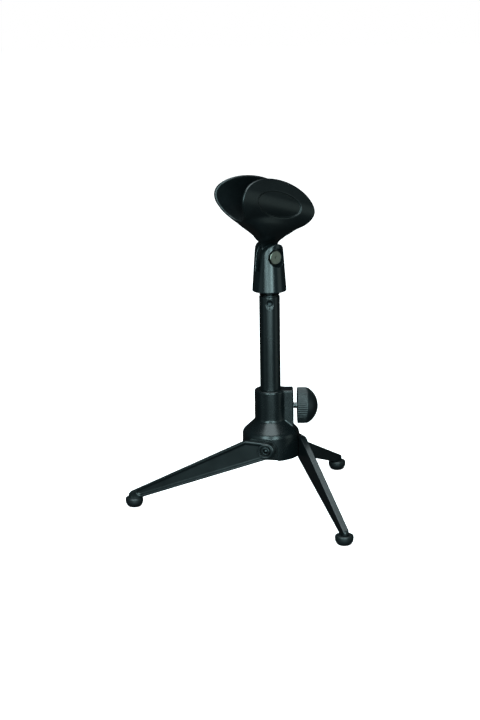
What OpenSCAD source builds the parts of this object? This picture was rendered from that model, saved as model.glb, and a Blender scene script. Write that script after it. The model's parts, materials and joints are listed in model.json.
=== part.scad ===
// Desktop microphone stand: a folding tripod hub, a sliding height tube held by a clamp knob,
// and a slip-in microphone clip on a swivel base. Z = 0 is the table. Each module draws its part
// round the tube's axis, and to_origin() then puts the origin in the middle of the feet's box.

/* [Tube and stud] */
// Outside diameter of the height tube
tube_d = 16; // [15.9:0.1:16.6]
// Wall of the height tube
tube_wall = 1.2; // [1:0.1:1.5]
// Length of the height tube
tube_length = 124; // [120:1:130]
// Height of the tube's top end above the table
tube_top = 170.1; // [168:0.1:174]
// Outside diameter of the 5/8 inch stud that carries the clip
stud_d = 15.875; // [15.8:0.005:15.9]
// Gap between the tube's end and the clip base, where the stud shows
stud_gap = 4; // [3.6:0.1:5]

/* [Hub] */
// Diameter of the drum that carries the legs
drum_d = 44.6; // [44:0.1:46]
// Height of the drum's underside above the table
drum_bottom = 42.5; // [42:0.1:43]
// Height where the drum's wall turns into the cone
drum_rim = 61; // [60.8:0.1:62]
// Height where the cone meets the collar
cone_top = 71.4; // [71:0.1:73]
// Diameter of the collar around the tube
collar_d = 25; // [24:0.1:26]
// Height of the collar's top face above the table
collar_top = 95.5; // [94:0.1:97]

/* [Clamp] */
// Height of the clamp screw above the table
clamp_z = 81.8; // [81:0.1:83]
// Distance from the tube axis to the face of the clamp boss
boss_reach = 17.8; // [17.5:0.1:19]
// Width of the clamp boss
boss_w = 14.4; // [13:0.1:15]
// Diameter of the knob's grip band
knob_d = 28.4; // [27:0.1:29]
// Length of the knob's grip band
knob_band = 8.5; // [8:0.1:9]
// Height of the knob's dome over the band
knob_dome = 7.8; // [7:0.1:8]
// Gap between the clamp boss and the back of the knob, when clamped
knob_gap = 2.9; // [2.6:0.1:3.6]
// Number of flutes around the knob
knob_flutes = 54; // [48:2:60]
// Nominal diameter of the clamp screw
clamp_screw_d = 5; // [4.8:0.1:5]

/* [Legs] */
// Heading of the left leg, counterclockwise from +X
leg_heading = 167.6; // [165:0.1:170]
// Distance from the tube axis to the middle plane of each leg
leg_offset = 21; // [20.9:0.05:21.2]
// Thickness of each leg
leg_t = 5; // [4.8:0.1:5]
// Height of the leg pivots above the table
pivot_z = 51; // [50.8:0.1:51.2]
// Distance along the leg from its pivot to the middle of its foot
leg_reach = 107; // [100:0.5:112]

/* [Feet] */
// Diameter of each foot
foot_d = 14.1; // [13:0.1:15]
// Height of each foot
foot_h = 7.6; // [7.4:0.1:8]

/* [Clip base] */
// Heading of the clip's low end, counterclockwise from +X
clip_heading = 37.4; // [0:0.1:90]
// Diameter of the clip base at its lower edge
base_low_d = 26.6; // [26:0.1:27]
// Diameter of the clip base at its top
base_top_d = 21.4; // [21:0.1:22]
// Height of the tilt bolt over the bottom of the clip base
bolt_rise = 27; // [26:0.1:28]
// Width of the slot between the two ears
ear_slot = 5.4; // [5.2:0.1:5.6]
// Distance between the floors of the two bolt recesses
ear_flats = 12.3; // [12:0.1:12.6]
// Nominal diameter of the tilt bolt
bolt_d = 5; // [4.8:0.1:5]

/* [Microphone clip] */
// Radius of the round jaw that holds the microphone
jaw_r = 15; // [14.8:0.1:15.2]
// Wall of the clip
clip_wall = 2.6; // [2.4:0.1:2.8]
// Upward tilt of the jaw's axis
clip_pitch = 17; // [15:0.5:19]
// Height of the jaw's axis over the tilt bolt
jaw_rise = 42.3; // [41:0.1:43]
// Length of the oval side outline of the clip
oval_length = 74.4; // [72:0.1:76]
// Height of the oval side outline of the clip
oval_height = 39; // [37:0.5:40]
// Depth of the thumb dish in each side
dish_depth = 1.1; // [0.8:0.1:1.3]

/* [Hidden] */
$fn = 64;

// Clearances: between parts that move, and between parts that are fixed together
run = 0.05;
snug = 0.02;
// Overshoot of a cutting tool past the face that it cuts
cut = 1;

tube_r = tube_d / 2;
tube_bore_r = tube_r - tube_wall;
tube_bottom = tube_top - tube_length;
drum_r = drum_d / 2;
collar_r = collar_d / 2;

// Edge roundings of the hub
shoulder_r = 3;
shoulder_angle = 47;
collar_edge = 1.5;
drum_edge = 0.8;
boss_edge = 1.2;
// Ring-shaped core that keeps the drum's wall even, seen from below
core_inner_r = 11.5;
core_outer_r = 15.5;
core_top = 60;
insert_boss_r = 5;

// Radial layers at each leg pivot, as distances from the tube axis
leg_inner = leg_offset - leg_t / 2;
leg_outer = leg_offset + leg_t / 2;
washer_t = 0.45;
pocket_floor = leg_inner - washer_t - run;
head_seat = leg_outer - 1.2;
insert_inner = pocket_floor - 6.4;

// Leg pivot hardware: M4 shoulder screws in brass inserts
insert_r = 3;
thread_r = 2;
shoulder_screw_r = 2.5;
screw_head_r = 3.8;
screw_head_h = 1.6;
hex_socket_r = 1.44;
hex_socket_depth = 1.2;
washer_r = 5.2;
counterbore_r = 4.2;
ring_r = 5.9;
ring_h = 0.7;

// The leg's side outline wraps three circles: [along the leg, height, radius]
leg_root = [-0.6, pivot_z, 6.3];
leg_tip = [leg_reach + 1.4, 8.9, 3.3];
leg_bend = [15.2, pivot_z + 1.5, 6];
panel_tip = [leg_reach - 6, 12.9, 4.3];
panel_rim = 2;
panel_depth = 1;
pocket_gap = 2.3;
peg_r = 1.8;
peg_bottom = 3;

// Middle of each foot, and the middle of the box round all three
function foot_middle(index) = let (a = leg_heading + 120 * index)
    [leg_reach * cos(a) - leg_offset * sin(a), leg_reach * sin(a) + leg_offset * cos(a)];
feet_x = [for (i = [0:2]) foot_middle(i)[0]];
feet_y = [for (i = [0:2]) foot_middle(i)[1]];
feet_centre = [(min(feet_x) + max(feet_x)) / 2, (min(feet_y) + max(feet_y)) / 2];

foot_r = foot_d / 2;
foot_bevel = 2.7;
foot_edge = 1.2;

// Clamp hardware along +X
pad_r = 2.5;
pad_inner = tube_r + snug;
pad_length = 2.43;
pad_travel_end = 13.1;
pad_socket_r = 1.25;
screw_tip = pad_inner + pad_length + run;
clamp_insert_r = 3.6;
clamp_insert_end = boss_reach - 0.4;
clamp_screw_r = clamp_screw_d / 2;
knob_back = boss_reach + knob_gap;
knob_r = knob_d / 2;
screw_end = knob_back + 9;
flute_r = 0.55;
flute_depth = 0.3;
knob_edge = 0.8;
dome_base_r = knob_r - 0.4;

// Stud and clip insert
stud_r = stud_d / 2;
stud_relief_r = 7.2;
stud_relief_h = 1.2;
stud_tail = 15;
base_z = tube_top + stud_gap;
insert_h = 12;
clip_insert_r = 10;
stake_z = tube_top - 5.9;
stake_r = 1.6;
stake_dish_r = 3.2;

// Clip base
base_low_r = base_low_d / 2;
base_edge = 0.7;
base_lean = 4;
base_top_r = base_top_d / 2;
bolt_z = base_z + bolt_rise;
ear_r = 10.6;
slot_depth = 10.7;
recess_r = 7.3;
bolt_r = bolt_d / 2;
bolt_head_r = 5.5;
bolt_head_h = 2.5;
nut_flats = 8;
nut_h = 3.2;
nut_pocket = 0.8;
bolt_end = ear_flats / 2 - nut_pocket + nut_h + 1;

// Microphone clip
jaw_shift = -2.5;
wall_start = 16;
wall_top = 24;
wall_lean = 20;
tongue_t = ear_slot - 2 * run;
tongue_r = 9;
dish_half = [22, 9.3];
// The oval's middle sits this far below the jaw's axis
oval_drop = 1;

// Moves a part from the tube's axis to its place round the object's origin
module to_origin() {
    translate([-feet_centre[0], -feet_centre[1], 0]) children();
}

// Points on an arc about centre c, from angle a0 to a1
function arc(c, r, a0, a1, n) =
    [for (i = [0:n]) let (a = a0 + (a1 - a0) * i / n) c + r * [cos(a), sin(a)]];

// Direction of the outward normal on the tangent that runs from circle p to circle q
function tangent_normal(p, q) =
    let (d = [q[0] - p[0], q[1] - p[1]]) atan2(d[1], d[0]) - acos((p[2] - q[2]) / norm(d));

function positive(angle) = angle - 360 * floor(angle / 360);

// Outline of a belt stretched counterclockwise round the circles, drawn in by inset
function belt(circles, inset) = [
    for (i = [0:len(circles) - 1])
        let (
            c = circles[i],
            before = circles[(i + len(circles) - 1) % len(circles)],
            after = circles[(i + 1) % len(circles)],
            a0 = tangent_normal(before, c),
            turn = positive(tangent_normal(c, after) - a0)
        )
        each arc([c[0], c[1]], c[2] - inset, a0, a0 + turn, 10)
];

// Places a shape in the frame of one leg: +X along the leg, +Y out through its pivot
module at_leg(index) {
    rotate([0, 0, leg_heading + 120 * index]) children();
}

// Extrudes a side outline of the leg from distance y0 to y1
module leg_slab(points, y0, y1) {
    translate([0, y1, 0]) rotate([90, 0, 0]) linear_extrude(y1 - y0) polygon(points);
}

// Cylinder along the pivot axis of a leg, from distance y0 to y1
module pivot_rod(r, y0, y1) {
    translate([0, y0, pivot_z]) rotate([-90, 0, 0]) cylinder(r = r, h = y1 - y0);
}

// Cylinder along +X at the clamp's height
module clamp_rod(r, x0, x1) {
    translate([x0, 0, clamp_z]) rotate([0, 90, 0]) cylinder(r = r, h = x1 - x0);
}

module hub_body() {
    shoulder = arc([drum_r - shoulder_r, drum_rim], shoulder_r, 0, shoulder_angle, 4);
    collar_round = arc([collar_r - collar_edge, collar_top - collar_edge], collar_edge, 0, 90, 4);
    rotate_extrude($fn = 96) polygon(concat(
        [[0, drum_bottom], [drum_r - drum_edge, drum_bottom], [drum_r, drum_bottom + drum_edge]],
        shoulder,
        [[collar_r, cone_top]],
        collar_round,
        [[0, collar_top]]
    ));
    // Clamp boss, from the cone up to the collar's top face
    translate([0, 0, drum_rim]) linear_extrude(collar_top - drum_rim) polygon([
        [0, -boss_w / 2], [boss_reach - boss_edge, -boss_w / 2], [boss_reach, boss_edge - boss_w / 2],
        [boss_reach, boss_w / 2 - boss_edge], [boss_reach - boss_edge, boss_w / 2], [0, boss_w / 2]
    ]);
}

// Room for one leg: flat floor, arched end over the leg's root, open below and outwards
module leg_pocket() {
    arch_r = leg_root[2] + pocket_gap;
    top = pivot_z + arch_r;
    leg_slab(concat(
        [[leg_root[0] - arch_r, drum_bottom - cut]],
        arc([leg_root[0], pivot_z], arch_r, 180, 90, 10),
        [[drum_r, top], [drum_r, drum_bottom - cut]]
    ), pocket_floor, drum_r + cut);
}

// Moulding core under the drum, with the three insert bosses left standing
module hub_core() {
    difference() {
        translate([0, 0, drum_bottom - cut]) difference() {
            cylinder(r = core_outer_r, h = core_top - drum_bottom + cut);
            translate([0, 0, -cut]) cylinder(r = core_inner_r, h = core_top);
        }
        for (i = [0:2]) at_leg(i) pivot_rod(insert_boss_r, tube_r, drum_r);
    }
}

module hub() {
    color("#171c1e") difference() {
        hub_body();
        hub_core();
        translate([0, 0, drum_bottom - cut])
            cylinder(r = tube_r + run, h = collar_top - drum_bottom + 2 * cut);
        for (i = [0:2]) at_leg(i) {
            leg_pocket();
            pivot_rod(insert_r, insert_inner, pocket_floor + cut);
        }
        clamp_rod(pad_r + run, tube_r - cut, pad_travel_end + cut);
        clamp_rod(clamp_insert_r, pad_travel_end, boss_reach + cut);
    }
}

module leg_inserts() {
    color("#b08d3c") for (i = [0:2]) at_leg(i) difference() {
        pivot_rod(insert_r - snug, insert_inner + snug, pocket_floor - snug);
        pivot_rod(thread_r + run, insert_inner - cut, pocket_floor + cut);
    }
}

module leg_washers() {
    color("#3a3d3f") for (i = [0:2]) at_leg(i) difference() {
        pivot_rod(washer_r, pocket_floor + snug, pocket_floor + washer_t);
        pivot_rod(shoulder_screw_r + run, pocket_floor - cut, pocket_floor + cut);
    }
}

// Shoulder screw with a button head and a hexagon socket
module leg_screws() {
    color("#23282a") for (i = [0:2]) at_leg(i) difference() {
        union() {
            pivot_rod(thread_r, insert_inner + 0.5, pocket_floor + snug);
            pivot_rod(shoulder_screw_r, pocket_floor + snug, head_seat + snug);
            translate([0, head_seat + snug, pivot_z]) rotate([-90, 0, 0])
                rotate_extrude() polygon(concat(
                    [[0, 0], [screw_head_r, 0]],
                    arc([screw_head_r - screw_head_h, 0], screw_head_h, 0, 90, 6),
                    [[0, screw_head_h]]
                ));
        }
        translate([0, head_seat + screw_head_h - hex_socket_depth, pivot_z]) rotate([-90, 0, 0])
            cylinder(r = hex_socket_r, h = hex_socket_depth + cut, $fn = 6);
    }
}

module clamp_insert() {
    color("#b08d3c") difference() {
        clamp_rod(clamp_insert_r - snug, pad_travel_end + snug, clamp_insert_end);
        clamp_rod(clamp_screw_r + run, pad_travel_end - cut, boss_reach);
    }
}

module clamp_pad() {
    color("#d8d4c4") difference() {
        clamp_rod(pad_r, pad_inner, pad_inner + pad_length);
        clamp_rod(pad_socket_r, pad_inner + pad_length - 1, pad_inner + pad_length + cut);
    }
}

module clamp_screw() {
    color("#aeb2b2") union() {
        clamp_rod(clamp_screw_r, screw_tip, screw_end);
        clamp_rod(pad_socket_r - run, screw_tip - 0.9, screw_tip + 0.5);
    }
}

// Turned profile of the knob: flat back, fluted band and domed front
module clamp_knob() {
    dome_r = (pow(dome_base_r, 2) + pow(knob_dome, 2)) / (2 * knob_dome);
    dome_half = asin(dome_base_r / dome_r);
    dome = arc([0, knob_band + knob_dome - dome_r], dome_r, 90 - dome_half, 90, 10);
    color("#1b2022") difference() {
        translate([knob_back, 0, clamp_z]) rotate([0, 90, 0]) difference() {
            rotate_extrude($fn = 96) polygon(concat(
                [[0, 0], [knob_r - knob_edge, 0], [knob_r, knob_edge], [knob_r, knob_band - knob_edge]],
                dome
            ));
            for (i = [0:knob_flutes - 1])
                rotate([0, 0, 360 * i / knob_flutes])
                    translate([knob_r - flute_depth + flute_r, 0, -cut])
                        cylinder(r = flute_r, h = knob_band + cut - knob_edge, $fn = 16);
        }
        clamp_rod(clamp_screw_r + snug, knob_back - cut, screw_end + snug);
    }
}

// One leg: flat blade with a sunk outer panel, a ring round the screw and a peg for the foot
module leg(index) {
    outline = [leg_root, leg_tip, leg_bend];
    panel = [leg_root, panel_tip, leg_bend];
    color("#1a1f21") at_leg(index) difference() {
        union() {
            difference() {
                leg_slab(belt(outline, 0), leg_inner, leg_outer);
                leg_slab(belt(panel, panel_rim), leg_outer - panel_depth, leg_outer + cut);
            }
            pivot_rod(ring_r, leg_inner + 1, leg_outer + ring_h);
            translate([leg_reach, leg_offset, peg_bottom]) cylinder(r = peg_r, h = 4);
        }
        pivot_rod(shoulder_screw_r + run, leg_inner - cut, leg_outer + cut);
        pivot_rod(counterbore_r, head_seat, leg_outer + ring_h + cut);
    }
}

// Rubber foot: bevelled puck with a groove for the blade and a hole for its peg
module foot(index) {
    color("#101314") at_leg(index) difference() {
        translate([leg_reach, leg_offset, 0]) rotate_extrude() polygon([
            [0, 0], [foot_r - foot_bevel, 0], [foot_r, foot_bevel], [foot_r, foot_h - foot_edge],
            [foot_r - foot_edge, foot_h], [0, foot_h]
        ]);
        leg_slab(belt([leg_root, leg_tip, leg_bend], -snug), leg_inner - snug, leg_outer + snug);
        translate([leg_reach, leg_offset, peg_bottom - snug]) cylinder(r = peg_r + snug, h = foot_h);
    }
}

module tube() {
    color("#161b1e") difference() {
        translate([0, 0, tube_bottom]) cylinder(r = tube_r, h = tube_length, $fn = 96);
        translate([0, 0, tube_bottom - cut]) cylinder(r = tube_bore_r, h = tube_length + 2 * cut);
        // Staked hole that locks the stud
        translate([0, 0, stake_z]) rotate([90, 0, 0]) {
            translate([0, 0, tube_bore_r - cut]) cylinder(r = stake_r, h = tube_wall + 2 * cut);
            translate([0, 0, tube_bore_r + 0.2])
                cylinder(r1 = stake_r, r2 = stake_dish_r, h = tube_wall + 0.2);
        }
    }
}

module tube_end_plug() {
    color("#0f1213") union() {
        translate([0, 0, tube_bottom - 1]) cylinder(r = tube_bore_r - snug, h = 9);
        translate([0, 0, tube_bottom - 2]) cylinder(r = tube_r - 2 * run, h = 2 - snug);
    }
}

module thread_stud() {
    color("#2a2f30") difference() {
        union() {
            translate([0, 0, tube_top - stud_tail]) cylinder(r = tube_bore_r - snug, h = stud_tail + 0.5);
            translate([0, 0, tube_top + snug]) cylinder(r = stud_relief_r, h = stud_relief_h);
            translate([0, 0, tube_top + stud_relief_h])
                cylinder(r = stud_r, h = stud_gap + insert_h - stud_relief_h - 0.5);
        }
        translate([0, 0, stake_z]) rotate([90, 0, 0]) translate([0, 0, tube_bore_r - 2])
            cylinder(r = stake_r, h = 2 + cut);
    }
}

// Places a shape in the clip's frame: +X towards its low end, -Y out through the bolt's head
module at_clip() {
    rotate([0, 0, clip_heading]) children();
}

// Cylinder along the tilt bolt's axis, from y0 to y1
module bolt_rod(r, y0, y1) {
    translate([0, y0, bolt_z]) rotate([-90, 0, 0]) cylinder(r = r, h = y1 - y0);
}

module clip_base() {
    ear_half = ear_flats / 2;
    base_round = arc([base_low_r - base_edge, base_z + base_edge], base_edge, -90, base_lean, 4);
    base_profile = concat([[0, base_z]], base_round, [[base_top_r, bolt_z + ear_r], [0, bolt_z + ear_r]]);
    color("#23292c") at_clip() difference() {
        intersection() {
            rotate_extrude($fn = 96) polygon(base_profile);
            union() {
                bolt_rod(ear_r, -base_low_r, base_low_r);
                translate([-base_low_d / 2 - cut, -base_low_d / 2 - cut, base_z - cut])
                    cube([base_low_d + 2 * cut, base_low_d + 2 * cut, bolt_rise + cut]);
            }
        }
        translate([-base_low_d, -ear_slot / 2, bolt_z - slot_depth])
            cube([2 * base_low_d, ear_slot, slot_depth + ear_r + cut]);
        bolt_rod(recess_r, ear_half, base_low_r + cut);
        bolt_rod(recess_r, -base_low_r - cut, -ear_half);
        bolt_rod(bolt_r + run, -ear_half - cut, ear_half + cut);
        translate([0, ear_half - nut_pocket, bolt_z]) rotate([-90, 0, 0])
            cylinder(r = (nut_flats / 2 + snug) / cos(30), h = nut_pocket + cut, $fn = 6);
        translate([0, 0, base_z - cut]) cylinder(r = clip_insert_r, h = insert_h + cut);
    }
}

module clip_insert() {
    color("#b08d3c") difference() {
        translate([0, 0, base_z]) cylinder(r = clip_insert_r - snug, h = insert_h - snug);
        translate([0, 0, base_z - cut]) cylinder(r = stud_r + run, h = insert_h + 2 * cut);
    }
}

module clip_bolt() {
    ear_half = ear_flats / 2;
    head_edge = 0.6;
    color("#8d8f80") at_clip() union() {
        bolt_rod(bolt_r, -ear_half - 1, bolt_end);
        translate([0, -ear_half - snug, bolt_z]) rotate([90, 0, 0]) rotate_extrude() polygon([
            [0, 0], [bolt_head_r, 0], [bolt_head_r, bolt_head_h - head_edge],
            [bolt_head_r - head_edge, bolt_head_h], [0, bolt_head_h]
        ]);
    }
}

module clip_nut() {
    color("#9a9c90") at_clip() difference() {
        translate([0, ear_flats / 2 - nut_pocket + snug, bolt_z]) rotate([-90, 0, 0])
            cylinder(r = nut_flats / 2 / cos(30), h = nut_h, $fn = 6);
        bolt_rod(bolt_r + run, 0, bolt_end + cut);
    }
}

// Places a shape in the jaw's frame: -X out of the mouth, +Z towards the open top
module at_jaw() {
    translate([jaw_shift, 0, bolt_z + jaw_rise]) rotate([0, clip_pitch, 0]) children();
}

// Long bar whose section is a circle of radius r with straight, inward leaning walls on top
module jaw_section(r) {
    foot = r * [cos(wall_start), sin(wall_start)];
    outer_r = jaw_r + clip_wall;
    top_half = outer_r / cos(wall_lean) - wall_top * tan(wall_lean) - (outer_r - r) / cos(wall_lean);
    rotate([0, 90, 0]) cylinder(r = r, h = 2 * oval_length, center = true, $fn = 96);
    rotate([90, 0, 90]) linear_extrude(2 * oval_length, center = true) polygon([
        [foot[0], foot[1]], [top_half, wall_top], [-top_half, wall_top], [-foot[0], foot[1]]
    ]);
}

// Bar along Y with an oval section
module oval_bar(half_length, half_height, n) {
    rotate([90, 0, 0]) linear_extrude(4 * jaw_r, center = true) polygon([
        for (i = [0:n - 1]) [half_length * cos(360 * i / n), half_height * sin(360 * i / n)]
    ]);
}

// The points, and their mirror images across the first axis, as one outline
function both_halves(points) = concat(
    points, [for (i = [len(points) - 1:-1:0]) [points[i][0], -points[i][1]]]
);

// Web between the jaw and the tongue: where its side, front and top outlines cross
module clip_neck() {
    side = [
        [-7.4, 0], [8.2, 0], [9, 9.5], [10, 14.9], [13.6, 16.2], [20.9, 20.2], [26, 23.6],
        [26, jaw_rise], [-32, jaw_rise], [-32, 37], [-27, 31.7], [-17.4, 25.5], [-10.4, 18.9],
        [-8.6, 16.4], [-7.8, 13.2], [-7.4, 10]
    ];
    front = [
        [0, tongue_t / 2], [12, tongue_t / 2], [13, 4.5], [15.4, 8], [19, 11.2], [22, 13.2],
        [26.5, 15], [31, 16.2], [jaw_rise, 16.2]
    ];
    top = [[-33, 1.5], [-27, 5], [-20, 9], [-12, 12.8], [-4, 15.2], [4, 16.4], [27, 16.4]];
    translate([0, 0, bolt_z]) intersection() {
        rotate([90, 0, 0]) linear_extrude(4 * jaw_r, center = true) polygon(side);
        rotate([0, -90, 0]) linear_extrude(4 * jaw_r, center = true) polygon(both_halves(front));
        linear_extrude(jaw_rise) polygon(both_halves(top));
    }
}

module mic_clip() {
    color("#14191b") at_clip() difference() {
        union() {
            intersection() {
                at_jaw() jaw_section(jaw_r + clip_wall);
                at_jaw() translate([0, 0, -oval_drop])
                    oval_bar(oval_length / 2, oval_height / 2, 64);
            }
            clip_neck();
            bolt_rod(tongue_r, -tongue_t / 2, tongue_t / 2);
        }
        at_jaw() jaw_section(jaw_r);
        // Thumb dishes, sunk evenly under the outer wall
        at_jaw() difference() {
            oval_bar(dish_half[0], dish_half[1], 48);
            jaw_section(jaw_r + clip_wall - dish_depth);
        }
        bolt_rod(bolt_r + run, -jaw_r, jaw_r);
    }
}

to_origin() hub();
to_origin() leg_inserts();
to_origin() leg_washers();
to_origin() leg_screws();
to_origin() clamp_insert();
to_origin() clamp_pad();
to_origin() clamp_screw();
to_origin() clamp_knob();
to_origin() leg(0);  // leg_left
to_origin() leg(1);  // leg_front
to_origin() leg(2);  // leg_back
to_origin() foot(0);  // foot_left
to_origin() foot(1);  // foot_front
to_origin() foot(2);  // foot_back
to_origin() tube();
to_origin() tube_end_plug();
to_origin() thread_stud();
to_origin() clip_base();
to_origin() clip_insert();
to_origin() clip_bolt();
to_origin() clip_nut();
to_origin() mic_clip();
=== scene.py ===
import json
import math

import bpy
import numpy as np
from mathutils import Matrix, Vector


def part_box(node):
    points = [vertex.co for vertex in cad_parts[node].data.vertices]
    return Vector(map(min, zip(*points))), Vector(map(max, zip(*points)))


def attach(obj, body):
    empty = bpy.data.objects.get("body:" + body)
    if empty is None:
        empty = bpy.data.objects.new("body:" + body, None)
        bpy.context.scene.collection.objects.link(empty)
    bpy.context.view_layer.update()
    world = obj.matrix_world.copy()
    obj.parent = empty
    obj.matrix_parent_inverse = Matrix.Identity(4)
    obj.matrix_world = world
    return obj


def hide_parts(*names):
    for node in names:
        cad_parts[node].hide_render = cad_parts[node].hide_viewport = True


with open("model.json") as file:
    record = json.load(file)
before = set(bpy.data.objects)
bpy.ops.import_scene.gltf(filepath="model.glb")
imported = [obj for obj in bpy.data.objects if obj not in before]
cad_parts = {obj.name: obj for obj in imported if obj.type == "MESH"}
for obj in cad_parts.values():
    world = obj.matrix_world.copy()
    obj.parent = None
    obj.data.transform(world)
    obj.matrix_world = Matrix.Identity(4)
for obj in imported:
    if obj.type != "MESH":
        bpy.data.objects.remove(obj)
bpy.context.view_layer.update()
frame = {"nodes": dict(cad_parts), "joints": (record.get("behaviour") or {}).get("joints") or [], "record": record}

# Desktop microphone stand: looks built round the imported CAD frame.
# Each visible part is described by a signed distance, in millimetres and in a handy local frame,
# and then meshed on a fine grid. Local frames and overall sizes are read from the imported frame.

MM = 0.001
RECORD = frame["record"]
JOINTS = {j["name"]: j for j in frame["joints"]}
MOUNTS = {m["name"]: m for m in RECORD["mounts"]}


# ---------------------------------------------------------------- distances

def span(*parts):
    """Length of a vector given by its components."""
    return np.sqrt(sum(p * p for p in parts))


def soft_max(a, b, blend):
    """Intersection of two distances, its edge softened over blend millimetres."""
    h = np.maximum(blend - np.abs(a - b), 0) / blend
    return np.maximum(a, b) + h * h * blend / 4


def soft_min(a, b, blend):
    """Union of two distances, its corner filled over blend millimetres."""
    return -soft_max(-a, -b, blend)


def cut_out(a, b, blend=0.4):
    """Distance a with b removed from it, the new edge softened over blend millimetres."""
    return soft_max(a, -b, blend)


def without(a, b):
    """Distance a with b removed from it, the new edge left sharp."""
    return np.maximum(a, -b)


def join(a, b, edge):
    """Intersection of two distances with a round edge of that radius."""
    u, v = a + edge, b + edge
    return np.minimum(np.maximum(u, v), 0) + span(np.maximum(u, 0), np.maximum(v, 0)) - edge


def slab(along, low, high):
    """Distance to the space between two parallel planes."""
    return np.abs(along - (low + high) / 2) - (high - low) / 2


def rod(radial, radius, along, low, high, edge):
    """Round bar: radial is the distance from its axis, along the position on it."""
    return join(radial - radius, slab(along, low, high), edge)


def belt(p, q, circles):
    """Distance to the outline of a belt round circles (p, q, radius), listed counterclockwise."""
    count = len(circles)
    normals = []
    for i in range(count):
        (ax, ay, ar), (bx, by, br) = circles[i], circles[(i + 1) % count]
        length = math.hypot(bx - ax, by - ay)
        angle = math.atan2(by - ay, bx - ax) - math.acos((ar - br) / length)
        normals.append((math.cos(angle), math.sin(angle)))
    lines = [(p - c[0]) * n[0] + (q - c[1]) * n[1] - c[2] for c, n in zip(circles, normals)]
    d = lines[0]
    for line in lines[1:]:
        d = np.maximum(d, line)
    for i, (cx, cy, r) in enumerate(circles):
        before, after = normals[i - 1], normals[i]
        u, v = p - cx, q - cy
        past = before[0] * v - before[1] * u
        short = u * after[1] - v * after[0]
        d = np.where((past > 0) & (short > 0), span(u, v) - r, d)
    return d


def hexagon(p, q, half_flats):
    """Distance to a hexagon, corner along p, with that distance from its middle to its flats."""
    turn = np.arctan2(q, p) % (math.pi / 3) - math.pi / 6
    return span(p, q) * np.cos(turn) - half_flats


def oval(p, q, half_p, half_q):
    """Distance to an ellipse, to first order."""
    size = span(p / half_p, q / half_q) + 1e-6
    slope = span(p / half_p**2, q / half_q**2) + 1e-6 / half_p
    return size * (size - 1) / slope


def thread(radial, turn, along, radius, pitch, depth):
    """Distance to a screw thread of that crest radius; turn is the angle round its axis."""
    phase = (along / pitch - turn / (2 * math.pi)) % 1.0
    ridge = np.abs(phase - 0.5) * 2
    return (radial - radius + depth * ridge) * 0.7


def smooth_curve(points):
    """Function through (x, y) points with a continuous slope."""
    xs, ys = (np.array(c, float) for c in zip(*points))
    steps = np.diff(ys) / np.diff(xs)
    slopes = np.concatenate([[steps[0]], (steps[1:] + steps[:-1]) / 2, [steps[-1]]])

    def curve(x):
        x = np.clip(x, xs[0], xs[-1])
        i = np.clip(np.searchsorted(xs, x) - 1, 0, len(xs) - 2)
        width = xs[i + 1] - xs[i]
        t = (x - xs[i]) / width
        return (
            ys[i] * (1 + 2 * t) * (1 - t) ** 2
            + ys[i + 1] * t * t * (3 - 2 * t)
            + width * (slopes[i] * t * (1 - t) ** 2 - slopes[i + 1] * t * t * (1 - t))
        )

    return curve


# ---------------------------------------------------------------- meshing

def crossing_quads(inside, ids, axis):
    """Quads across the grid edges that run along axis and leave or enter the solid."""
    b, c = (axis + 1) % 3, (axis + 2) % 3
    near, far = [slice(1, -1)] * 3, [slice(1, -1)] * 3
    near[axis], far[axis] = slice(0, -1), slice(1, None)
    at = np.argwhere(inside[tuple(near)] != inside[tuple(far)])
    at[:, b] += 1
    at[:, c] += 1
    corners = []
    for step_b, step_c in ((-1, -1), (0, -1), (0, 0), (-1, 0)):
        cell = at.copy()
        cell[:, b] += step_b
        cell[:, c] += step_c
        corners.append(ids[tuple(cell.T)])
    quads = np.stack(corners, 1)
    entering = ~inside[tuple(at.T)]
    quads[entering] = quads[entering][:, ::-1]
    return quads


def gradient(field, points):
    """Slope of the field at each point, by central differences."""
    reach = 0.02
    slopes = []
    for axis in range(3):
        shift = np.zeros(3)
        shift[axis] = reach
        slopes.append(field(*(points + shift).T) - field(*(points - shift).T))
    return np.stack(slopes, 1) / (2 * reach)


def cell_points(values, cells, grid):
    """One point in each crossed cell: the middle of the places where its edges cross zero."""
    corners = np.array([(i, j, k) for i in (0, 1) for j in (0, 1) for k in (0, 1)])
    value = np.stack([values[tuple((cells + c).T)] for c in corners], 1)
    total, hits = np.zeros((len(cells), 3)), np.zeros(len(cells))
    for a in range(8):
        for b in range(a + 1, 8):
            if abs(corners[a] - corners[b]).sum() != 1:
                continue
            crosses = (value[:, a] < 0) != (value[:, b] < 0)
            gap = np.where(crosses, value[:, a] - value[:, b], 1)
            share = (value[:, a] / gap)[:, None]
            point = corners[a] + share * (corners[b] - corners[a])
            total += np.where(crosses[:, None], point, 0)
            hits += crosses
    start = np.array([g[0] for g in grid])
    step = grid[0][1] - grid[0][0]
    return start + (cells + total / hits[:, None]) * step


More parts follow.
